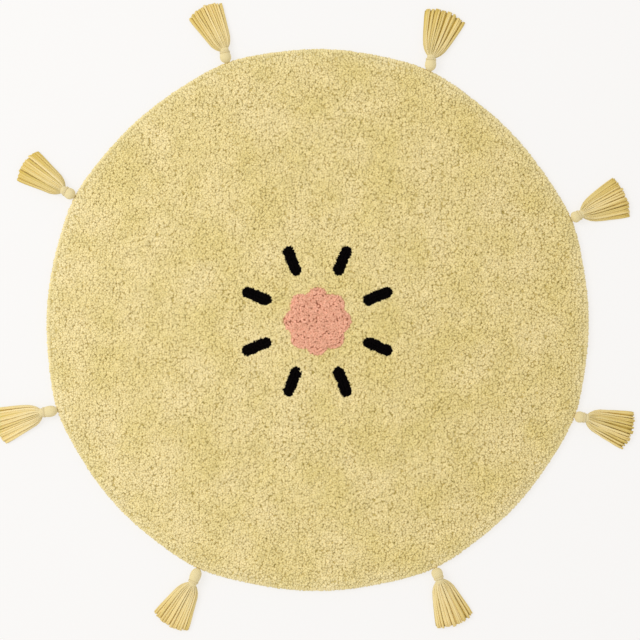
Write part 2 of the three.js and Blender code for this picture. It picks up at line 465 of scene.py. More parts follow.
yellowPile = yarnMaterial("yellow_pile_yarn", {
    **pileLook,
    "ramp": [(0.4, (0.56, 0.44, 0.135)), (0.86, (0.852, 0.702, 0.333)), (1.0, (0.912, 0.763, 0.385))],
})

pinkPile = yarnMaterial("pink_pile_yarn", {
    **pileLook,
    "patchTint": (0.97, 0.96, 0.95),
    "paleTint": (0.04, 0.05, 0.05),
    "toneSwing": 0.13,
    "ramp": [(0.4, (0.62, 0.26, 0.15)), (0.86, (0.84, 0.42, 0.275)), (1.0, (0.92, 0.49, 0.335))],
    "sheenTint": (1, 0.85, 0.8),
})

blackPile = yarnMaterial("black_pile_yarn", {
    **pileLook,
    "patchTint": (0.9, 0.9, 0.9),
    "paleTint": (0, 0, 0),
    "ramp": [(0.2, (0.001, 0.0008, 0.0009)), (1.0, (0.0032, 0.0022, 0.0024))],
    "sheen": 0.0,
    "specular": 0.03,
    "sheenTint": (0.6, 0.6, 0.7),
})

strandLook = {
    **pileLook,
    "patchTint": (0.97, 0.96, 0.92),
    "fibreStretch": 1,
    "plies": 2.0,
    "sheen": 0.15,
}

tasselYarn = yarnMaterial("tassel_yarn", {
    **strandLook,
    "ramp": [
        (0.0, (0.78, 0.66, 0.355)),
        (0.15, (0.83, 0.68, 0.33)),
        (0.7, (0.83, 0.655, 0.268)),
        (0.88, (0.82, 0.63, 0.225)),
        (1.0, (0.61, 0.45, 0.12)),
    ],
    "toneSwing": 0.16,
    "richness": 0.15,
    "fibreShadeSwing": 0.08,
    "plyShare": 0.25,
    "bump": 0.25,
    "bumpDepth": 0.0003,
})

bindingYarn = yarnMaterial("binding_yarn", {
    **strandLook,
    "ramp": [(0.0, (0.79, 0.67, 0.385)), (1.0, (0.79, 0.67, 0.385))],
    "toneSwing": 0.05,
    "fibreShadeSwing": 0.06,
    "plyShare": 0.8,
    "bump": 0.35,
    "bumpDepth": 0.0004,
})
print("yarn finishes made")


# Ground of the rug: the backing cloth with its turned hem, and the close feet of the pile above it

ground = {
    "inset": 3.5,  # of the slab's edge from the tips of the rim's pile
    "top": 12.7,
    "hemWidth": 22,
    "hemDepth": 0.9,  # by which the hem stands below the backing
    "flat": [460, 340, 220, 120, 60],  # insets of the rings between the middle and the hem
    "fold": [(1, 0.9), (0, 0.15), (-1, 0)],  # how far in from the hem's fold, and how high
    "sole": [(12, 0), (2.5, 0)],  # how far in from the slab's edge, and how high
    "side": [(0.6, 0.8), (0, 2.2), (0.4, 3.8), (2.6, 5.2)],
    "shoulder": [(6, 10.2), (11, 12.1), (18, 12.6), (34, 12.7)],  # how far in from the rim
    "turns": 256,
    "discPlaces": ((0.25, 0.25), (0.75, 0.25)),  # of its underside and its top on the map
    "discRadius": 0.24,
}


def groundForm():
    # A profile of (inset, height) pairs turned round the middle, out along the underside and back
    # over the top: x = (rim - inset) cos a, y = (rim - inset) sin a
    edge = ground["inset"]
    hem = edge + ground["hemWidth"]
    deep = ground["hemDepth"]
    top = ground["top"]
    turns = ground["turns"]
    under = [(inset, deep) for inset in ground["flat"]]
    under += [(hem + inset, height) for inset, height in ground["fold"]]
    under += [(edge + inset, height) for inset, height in ground["sole"]]
    over = [(edge + inset, height) for inset, height in ground["side"]] + ground["shoulder"]
    over += [(inset, top) for inset in reversed(ground["flat"])]
    profile = np.array(under + over)
    angle = 2 * np.pi * np.arange(turns) / turns
    radius = rimRadius(angle) - profile[:, :1]
    height = np.repeat(profile[:, 1:], turns, axis=1)
    made = closedForm([0, 0, deep], np.dstack([polar(radius, angle), height]), [0, 0, top])

    # The underside is laid out as one disc and the side and top as another beside it, each ring as
    # far from its disc's middle as it is along the profile
    line = np.array([(rug["radius"], deep), *profile, (rug["radius"], top)])
    run = np.concatenate([[0], np.cumsum(np.hypot(*np.diff(line, axis=0).T))])
    split = len(under)
    reach = np.minimum(run / run[split], (run[-1] - run) / (run[-1] - run[split]))

    def discCentre(form, ring):
        return np.where(ring.max(axis=1)[:, None, None] < split, *ground["discPlaces"])

    made["maps"] = {"OFBake": discLayout(made, turns, ground["discRadius"] * reach, discCentre)}
    beneath = np.repeat(np.arange(len(profile)) <= split, turns)
    made["marks"] = {"under": np.concatenate([[1], beneath, [0]])}
    return made


groundLook = {
    "threadScale": 140,  # waves of warp and weft
    "thread": [(0, (0.66, 0.58, 0.43)), (1, (0.80, 0.73, 0.59))],
    "threadDepth": 0.0006,
    "feetScale": 300,
    # Painted shade: the feet are a darker yellow than the tips, as deep under the pile
    "feet": [(0, (0.62, 0.49, 0.175)), (1, (0.72, 0.58, 0.225))],
}


def groundMaterial():
    # Close pile feet above, painted a darker yellow as shade deep under the pile, and an undyed
    # plain-woven cotton backing below
    material = newMaterial("rug_ground_cloth")
    place = addNode(material, "TexCoord", {}).outputs["Object"]
    threads = {}
    for number, direction in enumerate(("X", "Y")):
        sockets = {"Vector": place, "Scale": groundLook["threadScale"], "Distortion": 0.8, "Detail": 1}
        wave = addNode(material, "TexWave", sockets, bands_direction=direction)
        threads[number] = wave.outputs["Fac"]
    weave = addNode(material, "Math", threads, operation="MAXIMUM").outputs["Value"]
    noise = addNode(material, "TexNoise", {"Vector": place, "Scale": groundLook["feetScale"]})
    mix = addNode(material, "Mix", {
        "Factor": markOn(material, "under"),
        "A": colourRamp(material, groundLook["feet"], noise.outputs["Fac"]),
        "B": colourRamp(material, groundLook["thread"], weave),
    }, data_type="RGBA")
    return finish(material, {
        "Base Color": mix.outputs["Result"],
        "Normal": bumped(material, weave, 0.6, groundLook["threadDepth"]),
        "Roughness": 0.95,
        "Specular IOR Level": 0.1,
    })


rugGround = meshPiece("rug_ground", groundForm(), groundMaterial(), ["rug"])
print("ground of the rug made")


# Cut pile: tufts of yarn that stand in rows, lean together in clumps and splay at their tips

pile = {
    "rowPitch": 6.7,
    "stitchPitch": 6.1,
    "jitter": 1.2,
    "clumpSize": 13,
    "clumpPull": 0.1,
    "ends": 3,  # ends of yarn that splay from a tuft
    "endTurn": 0.3,
    "endTone": 0.3,
    "splay": 2.6,
    "splayRange": (0.7, 1.3),
    "footSplay": 0.4,  # share of it at the foot
    "foot": 7.5,
    "reach": 3.6,
    "reachRange": (0.88, 1.12),
    "bulge": 0.86,  # share of its height at which an end is widest
    "sides": 5,
    "uneven": 0.16,
    "unevenRise": 0.35,
    "mapRadius": 0.24,  # of an end on the map, as a share of the tuft's cell
    "mapBulge": 0.72,
    "lean": 1.3,
    "leanRange": (0.3, 1.3),
    "leanSize": 17,
    "leanSwing": 3 * np.pi,  # radians, how far the lean turns from clump to clump
    "leanTurn": 0.7,  # and from tuft to tuft
    "swell": 0.4,
    "swellSize": 11,
    "scatter": 0.8,
    "sunkShare": 0.085,  # of the ends, more where the pile is open and fewer where it is close
    "sunkDepth": 2.3,
    "sunkShadeRise": 0.5,
    "openSize": 48,
    "openSwing": 0.8,
    "openRim": (11.2, 27.2),  # the pile is close out here, and opens by here
    "toneSize": 24,
    "toneSwing": 0.25,
    "tuftTone": 0.4,
    "paintedShadeToRight": {"openness": 0.7, "tone": -0.35, "pale": -0.12},  # painted shade, from the middle to the right: darker, richer and more open away from the light
    "paleReach": 30,
    "rimInset": 9,  # where the standing pile gives way to the rolled rim
    "rimLean": 4.5,  # how far tufts lean out at the rim, and from where
    "rimReach": 32,
    "motifGap": 3.3,  # between the motif's edge and the row of tufts that follows it,
    "rowGap": 2.4,  # and between that and the field
    "edgePitch": 5.7,
}


def tuftForm(place, stand, reach, layout, seed):
    # Each tuft splays into a few ends of yarn. An end widens from its foot to one ring of points at
    # share s of its height, centre = place + lean s, and closes on its tip at place + lean. A few
    # ends are cut lower than the rest and show as dark points, painted darker as shade in the pits.
    rng = np.random.default_rng(seed)
    ends = pile["ends"]
    sides = pile["sides"]
    count = len(place) * ends
    turn = rng.uniform(0, 2 * np.pi, (len(place), 1)) + 2 * np.pi * np.arange(ends) / ends
    turn = (turn + rng.normal(0, pile["endTurn"], turn.shape)).ravel()
    far = np.repeat(reach, ends) * pile["splay"] / pile["reach"]
    away = polar(far * rng.uniform(*pile["splayRange"], count), turn)
    start = np.repeat(place, ends, axis=0) + pile["footSplay"] * away
    drift = np.repeat(stand["lean"], ends, axis=0) + (1 - pile["footSplay"]) * away
    sunk = rng.uniform(0, 1, count) < pile["sunkShare"] * np.repeat(stand["openness"], ends)
    low = np.full(count, float(pile["foot"]))
    high = np.repeat(stand["tip"], ends) + pile["scatter"] * rng.uniform(-1, 1, count)
    high = high - np.where(sunk, pile["sunkDepth"], 0)
    share = pile["bulge"]
    around = 2 * np.pi * np.arange(sides) / sides + rng.uniform(0, 2 * np.pi, (count, 1))
    radius = np.repeat(reach, ends)[:, None] * (1 + pile["uneven"] * rng.uniform(-1, 1, (count, sides)))
    ring = (start + share * drift)[:, None] + polar(radius, around)
    height = (low + share * (high - low))[:, None]
    height = height + pile["unevenRise"] * rng.uniform(-1, 1, (count, sides))
    made = ringedFaces(count, 1, sides)
    made["points"] = np.concatenate([
        np.column_stack([start, low])[:, None],
        np.dstack([ring, height]),
        np.column_stack([start + drift, high])[:, None],
    ], axis=1).reshape(-1, 3)
    rise = np.concatenate([[0], np.full(sides, share), [1]])
    # Painted shade: a sunk end takes a darker colour low on the ramp and the darkest tone
    rise = np.where(sunk, pile["sunkShadeRise"], 1)[:, None] * rise
    tone = np.clip(np.repeat(stand["tone"], ends) + rng.normal(0, pile["endTone"], count), -1, 1)
    tone = np.where(sunk, -1, tone)
    made["marks"] = {
        "rise": rise.ravel(),
        "tone": np.repeat(tone, sides + 2),
        "pale": np.repeat(stand["pale"], ends * (sides + 2)),
    }

    # On the map each end lies round its own corner of the tuft's cell, with its tip in the middle
    corners = np.array([(-1, -1), (1, -1), (-1, 1), (1, 1)]) / 4 * layout["cell"]
    reach = layout["cell"] * pile["mapRadius"] * np.array([1, pile["mapBulge"], 0])

    def endCentre(form, ring):
        return (layout["centre"][form // ends] + corners[form % ends])[:, None]

    made["maps"] = {"OFBake": discLayout(made, sides, reach, endCentre)}
    return made


def standing(place, proud, seed):
    # Tip, lean and shades of the tufts at their places: neighbours lean and rise alike
    rng = np.random.default_rng(seed)
    x, y = place.T + 29 * seed
    count = len(place)
    heading = pile["leanSwing"] * softNoise(x, y, pile["leanSize"], 11)
    heading = heading + rng.normal(0, pile["leanTurn"], count)
    lean = polar(pile["lean"] * rng.uniform(*pile["leanRange"], count), heading)
    inset = rimInset(*place.T)
    roll = pile["rimLean"] * np.clip(1 - inset / pile["rimReach"], 0, 1)
    lean = lean + (roll / np.maximum(1, np.hypot(*place.T)))[:, None] * place
    tip = pileTop(inset - roll) + proud + pile["swell"] * softNoise(x, y, pile["swellSize"], 12)
    tip = tip + 0.5 * pile["scatter"] * rng.uniform(-1, 1, count)
    right = place[:, 0] / rug["radius"]
    paintedShadeToRight = pile["paintedShadeToRight"]
    openness = 1 + pile["openSwing"] * softNoise(x, y, pile["openSize"], 14) + paintedShadeToRight["openness"] * right
    openness = openness * np.interp(inset, pile["openRim"], (0, 1))
    tone = pile["toneSwing"] * softNoise(x, y, pile["toneSize"], 13)
    tone = tone + rng.normal(0, pile["tuftTone"], count)
    tone = np.clip(tone + paintedShadeToRight["tone"] * right, -1, 1)
    pale = np.clip(1 - inset / pile["paleReach"], 0, 1) + paintedShadeToRight["pale"] * (right - 1)
    return {"tip": tip, "lean": lean, "tone": tone, "openness": openness, "pale": pale}


def fieldPlaces():
    # Rows along Y, every other one half a stitch on, drawn together in clumps by slow noise, with
    # a row of tufts set close round each edge of the motif
    rows = math.ceil(rug["radius"] / pile["rowPitch"])
    stitches = math.ceil(rug["radius"] / pile["stitchPitch"])
    row, stitch = np.mgrid[-rows:rows + 1, -stitches:stitches + 1].reshape(2, -1)
    x = row * pile["rowPitch"]
    y = (stitch + 0.5 * (row % 2)) * pile["stitchPitch"]
    gap = pile["motifGap"]
    keep = (rimInset(x, y) > pile["rimInset"]) & (motifDistance(x, y) > gap + pile["rowGap"])
    cell = np.stack([x, y], axis=-1)[keep]
    place = cell + np.random.default_rng(21).uniform(-1, 1, cell.shape) * pile["jitter"]
    pull = np.stack([softNoise(*cell.T, pile["clumpSize"], seed) for seed in (22, 23)], axis=-1)
    place = place + pile["clumpPull"] * pull
    edges = [rosetteRing(-gap, pile["edgePitch"])]
    edges += [rayRing(-gap, pile["edgePitch"], angle) for angle in rayAngles()]
    return np.concatenate([cell, *edges]), np.concatenate([place, *edges])


def pileQuarters():
    # The pile is one mesh to each quarter of the rug
    cells, places = fieldPlaces()
    stand = standing(places, 0, 31)
    reach = pile["reach"] * np.random.default_rng(32).uniform(*pile["reachRange"], len(places))
    pieces = []
    for number, (right, back) in enumerate([(1, 1), (-1, 1), (-1, -1), (1, -1)], start=1):
        inside = ((cells[:, 0] >= 0) == (right > 0)) & ((cells[:, 1] >= 0) == (back > 0))
        margin = pile["stitchPitch"] / 2
        corner = np.array([min(0, right), min(0, back)]) * (rug["radius"] + margin)
        side = rug["radius"] + 2 * margin
        layout = {"centre": (cells[inside] - corner) / side, "cell": pile["stitchPitch"] / side}
        part = {name: values[inside] for name, values in stand.items()}
        form = tuftForm(places[inside], part, reach[inside], layout, 40 + number)
        pieces.append(meshPiece(f"pile_quarter_{number}", form, yellowPile, []))
    print("pile stands,", len(places), "tufts")
    return pieces


pileParts = pileQuarters()


# Coloured pile of the motif, tufted in rings that follow each outline

island = {
    "shoulder": 0.45,  # how far the pile is lower at the edge, as a share of its fall
    "leanShare": 0.6,
    "reachRange": (0.9, 1.12),
    "block": 0.84,  # side of the tufts' block on the map, below and left of the ground's disc
    "groundInsets": [1.2, 0.8, 2.4, 6.0],
    "groundFoot": 6.5,
    "groundDrops": [1, 0.4, 0],  # of the upper loops, as shares of the island's drop
    "groundShadeRise": 0.3,
    "groundShadeTone": -0.3,
    "discPlace": (0.92, 0.92),
    "discReach": 0.075 * np.array([1, 0.94, 0.88, 0.84, 0.76, 0]),
}


def islandForm(look, outline, places, seed):
    # Rings of tufts inside an outline, like the field's, with the height falling away over the
    # shoulder at its edge, where the tufts also keep closer to their ring
    rings = [outline(inset, look["pitch"]) for inset in look["insets"]]
    place = np.concatenate(rings)
    depth = np.repeat(look["insets"], [len(ring) for ring in rings])
    stray = np.random.default_rng(places).uniform(-look["jitter"], look["jitter"], place.shape)
    place = place + stray * np.clip((depth[:, None] - 2) / look["settle"], 0.2, 1)
    stand = standing(place, look["proud"], seed)
    inward = np.clip(depth / look["fall"], 0, 1)
    stand["tip"] = stand["tip"] - island["shoulder"] * look["fall"] * (1 - inward) ** 2
    stand["lean"] = island["leanShare"] * stand["lean"]
    stand["openness"] = look["openness"] * inward
    count = len(place)
    reach = look["reach"] * np.random.default_rng(seed + 1).uniform(*island["reachRange"], count)
    across = math.ceil(math.sqrt(count))
    cells = np.stack(np.divmod(np.arange(count), across)[::-1], axis=-1) + 0.5
    layout = {"centre": island["block"] * cells / across, "cell": island["block"] / across}
    return tuftForm(place, stand, reach, layout, seed + 2)


def islandGround(look, outline):
    # The close feet of an island's pile: its outline drawn in by each inset, one loop above another
    top = look["groundTop"]
    loops = np.array([outline(inset) for inset in island["groundInsets"]])
    heights = [island["groundFoot"], *(top - look["groundDrop"] * np.array(island["groundDrops"]))]
    heights = np.repeat(np.array(heights)[:, None], loops.shape[1], axis=1)
    middle = loops[0].mean(axis=0)
    made = closedForm([*middle, heights[0, 0]], np.dstack([loops, heights]), [*middle, top])
    count = len(made["points"])
    # Painted shade: the feet take a dark colour low on the ramp and a darker tone, as deep under the
    # pile
    made["marks"] = {
        "rise": np.full(count, island["groundShadeRise"]),
        "tone": np.full(count, island["groundShadeTone"]),
        "pale": np.zeros(count),
    }
    made["maps"] = {"OFBake": discLayout(
        made, loops.shape[1], island["discReach"], lambda form, ring: island["discPlace"])}
    return made


def rosetteLoop(inset):
    angle = 2 * np.pi * np.arange(96) / 96
    return polar(rosetteRadius(angle) - inset, angle)


rosetteForm = joined([
    islandForm(rosette, rosetteRing, 51, 52),
    islandGround(rosette, rosetteLoop),
])
motifParts = [meshPiece("rosette_pile", rosetteForm, pinkPile, ["rosette"])]
for number, angle in enumerate(rayAngles(), start=1):
    rayForm = joined([
        islandForm(rays, lambda inset, pitch: rayRing(inset, pitch, angle), 60 + number, 70 + number),
        islandGround(rays, lambda inset: rayRing(inset, 0, angle, 48)),
    ])
    motifParts.append(
        meshPiece(f"ray_pile_{number}", rayForm, blackPile, [f"ray_{number}"]))
print("motif stands,", len(motifParts), "islands")


# Tubes of yarn along lines, for the rolled rim, the tassels and their bindings

def tubeForm(lines, reach, sideways, sides, rise, tone, uneven=0.0, seed=0):
    # Round a line with tangent T, point a lies at c + r (cos a S + sin a N), where S is the given
    # sideways direction made square to T and N = T x S. Both ends close on a point.
    count, stations = lines.shape[:2]
    tangent = np.gradient(lines, axis=1)
    tangent /= np.linalg.norm(tangent, axis=-1, keepdims=True)
    across = sideways - tangent * np.sum(sideways * tangent, axis=-1, keepdims=True)
    across /= np.linalg.norm(across, axis=-1, keepdims=True)
    normal = np.cross(tangent, across)
    turn = 2 * np.pi * np.arange(sides) / sides
    rough = 1 + uneven * np.random.default_rng(seed).uniform(-1, 1, (count, stations, sides))
    radius = (reach[..., None] * rough)[..., None]
    around = np.cos(turn)[:, None] * across[:, :, None] + np.sin(turn)[:, None] * normal[:, :, None]
    rings = lines[:, :, None] + radius * around
    footPoint = lines[:, :1] - tangent[:, :1] * reach[:, :1, None] * 0.5
    tipPoint = lines[:, -1:] + tangent[:, -1:] * reach[:, -1:, None] * 0.35
    made = ringedFaces(count, stations, sides)
    made["points"] = np.concatenate(
        [footPoint, rings.reshape(count, -1, 3), tipPoint], axis=1).reshape(-1, 3)
    share = np.concatenate([rise[:, :1], np.repeat(rise, sides, axis=1), rise[:, -1:]], axis=1)
    made["marks"] = {"rise": share.ravel(), "tone": np.repeat(tone, share.shape[1])}
    run = np.concatenate([np.zeros((count, 1)), np.cumsum(
        np.linalg.norm(np.diff(lines, axis=1), axis=-1), axis=1)], axis=1)
    run = np.concatenate([run[:, :1] - 1, run, run[:, -1:] + 1], axis=1)
    made["maps"] = {"yarn": [
        np.stack([side / sides, run[form[:, None], ring + 1] / 10], axis=-1)
        for form, ring, side in zip(made["form"], made["ring"], made["side"])
    ]}
    return made


def yarnMap(made, sides, rings):
    # A map for the plies, on which so many sides and so many rings take up one unit each
    made["maps"] = {"yarn": [
        np.stack([side / sides, ring / rings], axis=-1)
        for ring, side in zip(made["ring"], made["side"])
    ]}


def stripLayout(made, sides, stations, box, rows):
    # Each tube is slit open and laid as an upright strip, the strips side by side in rows in a box
    count = made["form"][0].max() + 1
    columns = math.ceil(count / rows)
    left, low, wide, high = box
    blocks = []
    for form, ring, side in zip(made["form"], made["ring"], made["side"]):
        column = (form % columns)[:, None]
        row = (form // columns)[:, None]
        u = left + wide * (column + 0.06 + 0.88 * side / sides) / columns
        v = low + high * (row + 0.02 + 0.96 * (ring + 1) / (stations + 1)) / rows
        blocks.append(np.stack([u, v], axis=-1))
    made["maps"]["OFBake"] = blocks
    return made


# Rolled rim: rows of longer tufts that lean out over the edge

rim = {
    "rows": [  # inset and height of a tuft's foot, bend and tip
        {"foot": (8, 2.5), "bend": (2.4, 9.0), "tip": (0.4, 3.2), "reach": 3.1, "pale": 0.55},
        {"foot": (13, 4.5), "bend": (5.8, 13.5), "tip": (1.4, 7.6), "reach": 3.5, "pale": 0.9},
    ],
    "pitch": 4.7,
    "stray": (0.16, 0.8, 0.5),  # along the rim as a share of the pitch, inward and up
    "swing": 1.4,
    "curve": (0.3, 0.96),  # part of the curve from foot to tip that shows
    "taper": [0.8, 1.0, 0.85],
    "uneven": 0.1,
    "tone": (0.25, 0.3),
    "rise": (0.55, 1),
    "sides": 6,
}


def rimForm(row, number):
    # Each tuft follows the curve (1-t)^2 foot + 2t(1-t) bend + t^2 tip, outward from the centre
    count = round(2 * np.pi * rug["radius"] / rim["pitch"])
    rng = np.random.default_rng(80 + number)
    aside, inward, up = rim["stray"]
    angle = np.arange(count) + 0.5 * (number % 2) + rng.uniform(-aside, aside, count)
    angle = 2 * np.pi * angle / count
    stations = len(rim["taper"])
    t = np.linspace(*rim["curve"], stations)
    weights = np.stack([(1 - t) ** 2, 2 * t * (1 - t), t ** 2])
    inset, height = np.array([row["foot"], row["bend"], row["tip"]]).T @ weights
    inset = inset + rng.uniform(-1, 1, (count, 1)) * inward * t
    height = height + rng.uniform(-1, 1, (count, 1)) * up
    radius = rimRadius(angle)[:, None] - inset
    swing = angle[:, None] + rim["swing"] * rng.uniform(-1, 1, (count, 1)) * t / rug["radius"]
    lines = np.dstack([polar(radius, swing), height])
    sideways = np.stack([np.sin(angle), -np.cos(angle), 0 * angle], axis=-1)[:, None]
    reach = row["reach"] * np.array(rim["taper"]) * rng.uniform(0.9, 1.1, (count, 1))
    tone = np.clip(rng.normal(*rim["tone"], count), -1, 1)
    rise = np.repeat(np.linspace(*rim["rise"], stations)[None], count, axis=0)
    made = tubeForm(lines, reach, sideways, rim["sides"], rise, tone, rim["uneven"], 90 + number)
    made["marks"]["pale"] = np.full(len(made["points"]), row["pale"])
    box = (0, number / len(rim["rows"]), 1, 0.98 / len(rim["rows"]))
    return stripLayout(made, rim["sides"], stations, box, 4)


rimPile = meshPiece(
    "pile_rim", joined([rimForm(row, number) for number, row in enumerate(rim["rows"])]),
    yellowPile, [])
print("rim rolled over")


# Tassels: a stem, a ribbed head and a skirt of cut yarn

skirt = {
    "along": [-1.5, 0, 6, 12, 22, 40, 60, 80, 97],
    "half": [5.4, 7.6, 14.0, 18.4, 23.0, 27.6, 32.2, 37.0, 40.0],
    "low": [6.6, 5.6, 2.8, 1.5, 0.4, 0.2, 0.2, 0.2, 0.2],
    "high": [16.6, 17.6, 18.8, 17.6, 15.0, 12.8, 10.8, 9.2, 8.2],
    "layers": [  # strands, share of the height, share of the width, thickness at the cut end
        (22, 0.58, 0.99, 1.75),
        (20, 0.74, 0.98, 1.9),
        (16, 0.87, 0.92, 2.1),
        (12, 1.0, 0.8, 2.25),
    ],
    "root": 0.95,  # thickness of a strand at the neck
    "thickRange": (0.8, 1.15),
    "thickEnd": 45,  # how far along a strand has its full thickness
    "stray": (0.018, 0.04),  # across and up
    "rounding": 0.45,
    "locks": (8, 13),  # bunches in which the strands hang together, fewest and most
    "lockShift": 0.4,
    "gather": 0.36,
    "gatherRange": (0.3, 1.6),
    "crown": 1.9,  # how much a bunch stands up along its middle
    "crownRange": (0.5, 1.3),
    "crownEnd": 50,
    "cornerDrop": 0.11,
    "uneven": 0.016,
    "wave": 0.3,
    "waveLength": (9, 16),
    "tones": (0.34, 0.3, 0.5),  # how strands and bunches differ, and painted shade that darkens the lower layers
    "shown": 0.88,  # rise at a strand's cut end; the yarn hidden below is at 1, painted in the ramp's darkest colour as shade in the gaps
    "stations": 10,
    "sides": 5,
}

bed = {
    "sides": 60,
    "top": 0.8,  # share of the height that the hidden yarn takes up
    "width": 0.97,
    "along": [-1, 3, 8, 14, 22, 34, 50, 66, 82, 95.3],
    "ribs": 23,
    "ribDepth": 0.18,
    "edgeHeight": 0.4,
    "riseEnd": 20,
    "tone": -0.3,
}

head = {
    "radius": 11.6,
    "rimGap": 0.3,
    "neckLength": 8.2,
    "along": [0, 0.05, 0.16, 0.34, 0.56, 0.78, 0.92],  # of the bulb, from the rim
    "reach": [0.34, 0.5, 0.72, 0.92, 0.98, 0.95, 0.9],
    "neck": [(-7.6, 9.8), (-4.1, 8.4), (0, 8.6), (3, 8.2), (5, 5)],  # along and radius, after it
    "smoothing": [0.22, 0.56, 0.22],
    "ends": (0.8, 1.5),  # how far its end points stand out
    "ribs": 22,
    "ribHeight": 0.6,
    "ribTwist": 0.02,
    "ribPower": 0.8,
    "squash": (0.02, 0.012),  # two and three times round
    "crestTone": 0.5,
    "grooveShade": 0.9,  # by which a groove is darker, painted shade
    "sides": 104,
    "steps": 22,
}

stem = {
    "radius": 4,
    "height": 6,
    "letIn": 9,
    "embedded": 6,
    "lay": 11,  # length of one turn of its plies
    "plyPlace": 0.48,  # from its middle, and their thickness, as shares of its radius
    "plyReach": 0.56,
    "tone": [-0.1, 0.1],
    "stations": 12,
    "sides": 8,
}

binding = {
    "start": 3.0,  # behind the skirt's roots
    "width": 4.6,
    "cord": 0.62,
    "coilRadius": 9.95,
    "tuckSpan": 0.025,  # share of the cord that runs in under its coils at either end
    "tuckDepth": 0.8,
    "turns": 4,
    "stepsPerTurn": 26,
    "sides": 6,
}


def skirtPlace(row, along, u, share):
    # A share u of the skirt's width and w of its height, kept from the neck to the cut end:
    # x = along (1 - drop u^2), y = u half, z = low + w (high - low)(1 - rounding u^2)
    station = np.clip(along, skirt["along"][0], skirt["along"][-1])
    half = np.interp(station, skirt["along"], skirt["half"])
    grown = np.clip(station / 40, 0, 1)
    half = half * (1 + grown * (np.where(u > 0, row["left"], row["right"]) - 1))
    low = np.interp(station, skirt["along"], skirt["low"])
    high = np.interp(station, skirt["along"], skirt["high"])
    x = along * (1 - skirt["cornerDrop"] * u ** 2)
    z = low + share * (high - low) * (1 - skirt["rounding"] * u ** 2)
    return np.stack([x, u * half, z], axis=-1)


def skirtForm(row, number):
    # Strands of yarn in layers, drawn together in uneven bunches with a narrow parting between two
    rng = np.random.default_rng(100 + number)
    across = []
    share = []
    thick = []
    aside, up = skirt["stray"]
    for count, layer, span, end in skirt["layers"]:
        across.append(span * ((np.arange(count) + 0.5) / count * 2 - 1) + rng.normal(0, aside, count))
        share.append(np.full(count, layer) + rng.normal(0, up, count))
        thick.append(end * rng.uniform(*skirt["thickRange"], count))
    across = np.clip(np.concatenate(across), -1, 1)
    share = np.clip(np.concatenate(share), 0, 1)
    thick = np.concatenate(thick)[:, None]
    count = len(across)
    locks = rng.integers(*skirt["locks"])
    edges = np.linspace(-1, 1, locks + 1)
    edges[1:-1] += rng.uniform(-skirt["lockShift"], skirt["lockShift"], locks - 1) * 2 / locks
    lock = np.clip(np.searchsorted(edges, across) - 1, 0, locks - 1)
    middle = (edges[lock] + edges[lock + 1])[:, None] / 2
    t = np.linspace(0, 1, skirt["stations"])[None] ** 1.25
    length = 1 + skirt["uneven"] * (rng.uniform(-1, 1, count) + 0.6 * np.sin(lock * 2.3 + number))
    along = skirt["along"][0] + (skirt["along"][-1] * length[:, None] - skirt["along"][0]) * t
    parting = rng.uniform(*skirt["gatherRange"], locks)[lock][:, None]
    gathered = smoothStep(np.clip((along - 8) / 40, 0, 1)) * skirt["gather"] * row["parted"] * parting
    u = across[:, None] + (middle - across[:, None]) * gathered
    lines = skirtPlace(row, along, u, share[:, None])
    swing = rng.uniform(0, 6.3, (count, 1))
    length = rng.uniform(*skirt["waveLength"], (count, 1))
    lines[..., 1] += skirt["wave"] * t * np.sin(along / length + swing)
    aside = 2 * (across - edges[lock]) / (edges[lock + 1] - edges[lock]) - 1
    crown = skirt["crown"] * (0.6 - aside ** 2) * share * rng.uniform(*skirt["crownRange"], locks)[lock]
    lines[..., 2] += crown[:, None] * smoothStep(np.clip(along / skirt["crownEnd"], 0, 1))
    grown = smoothStep(np.clip(along / skirt["thickEnd"], 0, 1))
    reach = skirt["root"] + (thick - skirt["root"]) * grown
    lines[..., 2] = np.maximum(lines[..., 2], reach)
    strandTone, lockTone, layerShade = skirt["tones"]
    tone = row["tone"] + rng.normal(0, strandTone, count) + lockTone * rng.uniform(-1, 1, locks)[lock]
    # Painted shade: strands in the lower layers darker
    tone = tone + layerShade * (share - 0.7)
    rise = np.repeat(skirt["shown"] * t, count, axis=0)
    sideways = np.array([0.0, -1.0, 0.0])
    made = tubeForm(lines, reach, sideways, skirt["sides"], rise, np.clip(tone, -1, 1), 0.06, number)
    return stripLayout(made, skirt["sides"], skirt["stations"], (0, 0, 1, 0.6), 2)


def bedForm(row, number):
    # The yarn under the strands that show, as one closed fan whose top is ribbed: at each station a
    # loop runs over the top from left to right and back along the floor
    half = bed["sides"] // 2
    sweep = np.cos(np.pi * (np.arange(half) + 0.5) / half)
    u = bed["width"] * np.concatenate([sweep, -sweep])
    top = np.concatenate([np.ones(half), np.zeros(half)])
    fullness = bed["edgeHeight"] + (1 - bed["edgeHeight"]) * np.sqrt(1 - u ** 6)
    ribs = 1 + bed["ribDepth"] * (np.abs(np.sin(bed["ribs"] * u + number)) - 1)
    along = np.array(bed["along"])[:, None]
    u = np.repeat(u[None], len(along), axis=0)
    rings = skirtPlace(row, along, u, top * bed["top"] * ribs * fullness)
    made = closedForm(rings[0].mean(axis=0), rings, rings[-1].mean(axis=0))
    # Painted shade: the hidden yarn, seen only between strands, takes the ramp's darkest colour and a
    # darker tone
    rise = np.repeat(np.clip(along[:, 0] / bed["riseEnd"], 0, 1), bed["sides"])
    made["marks"] = {
        "rise": np.concatenate([[0], rise, [1]]),
        "tone": np.full(len(made["points"]), bed["tone"]),
    }
    yarnMap(made, 3, 2)
    return stripLayout(made, bed["sides"], len(along), (0, 0.62, 1, 0.16), 1)


